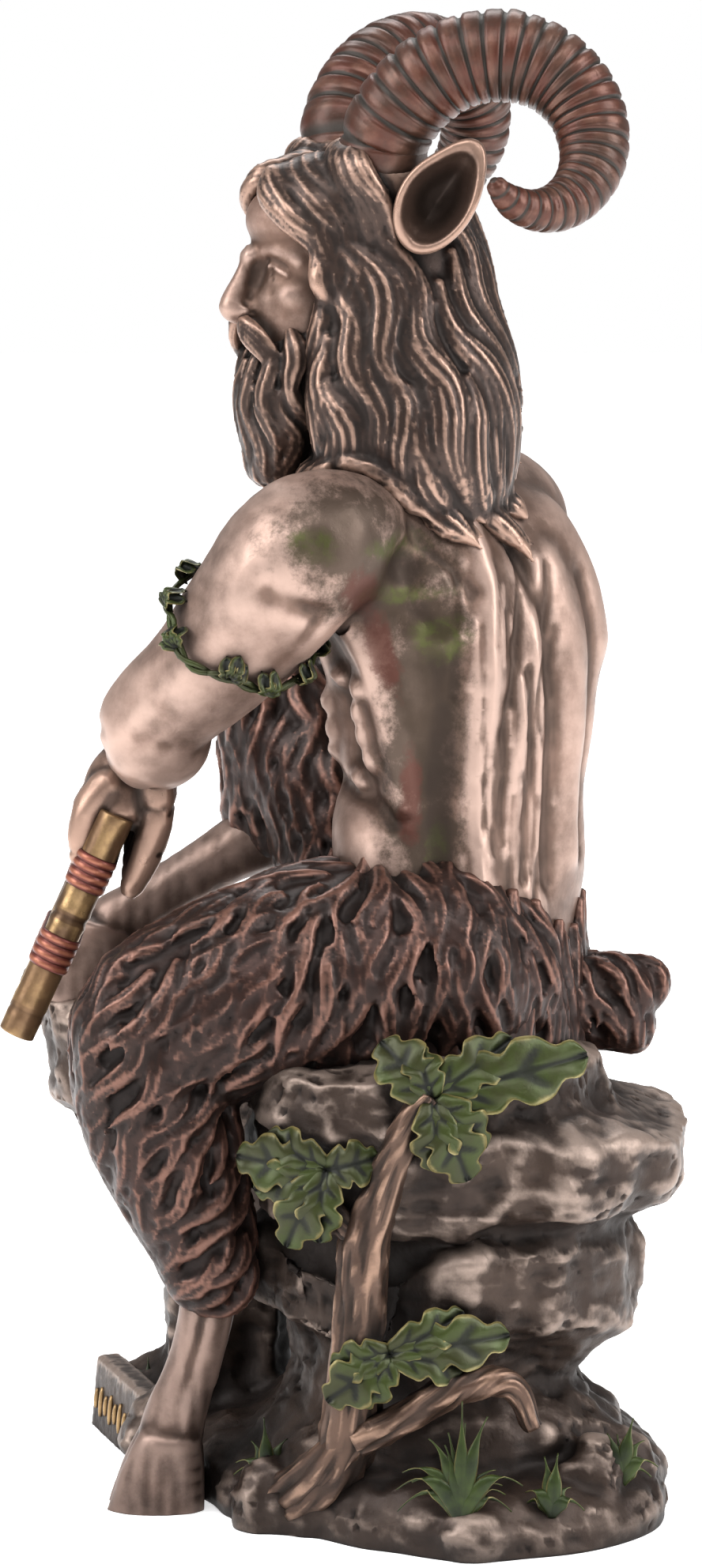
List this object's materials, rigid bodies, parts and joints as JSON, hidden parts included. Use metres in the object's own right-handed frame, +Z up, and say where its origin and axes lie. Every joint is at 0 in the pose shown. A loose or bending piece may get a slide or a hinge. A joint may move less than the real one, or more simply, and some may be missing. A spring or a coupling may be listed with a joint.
{
  "type": "pan figurine",
  "caption": "Bronzed resin figurine of a horned, goat-legged piper who sits on a rock with vines and holds a set of reed pipes.",
  "frame": {"origin": "middle of the bounding box in plan, on the flat underside", "axes": "+Z up; the seated figure looks along -Y and its left side is towards +X"},
  "size_m": [0.107, 0.1168, 0.2519],
  "materials": {
    "bronzed_resin": "cold-cast resin with a brushed bronze patina and painted green leaves"
  },
  "bodies": {
    "root": {"pan_figurine": "bronzed_resin"}
  },
  "joints": []
}
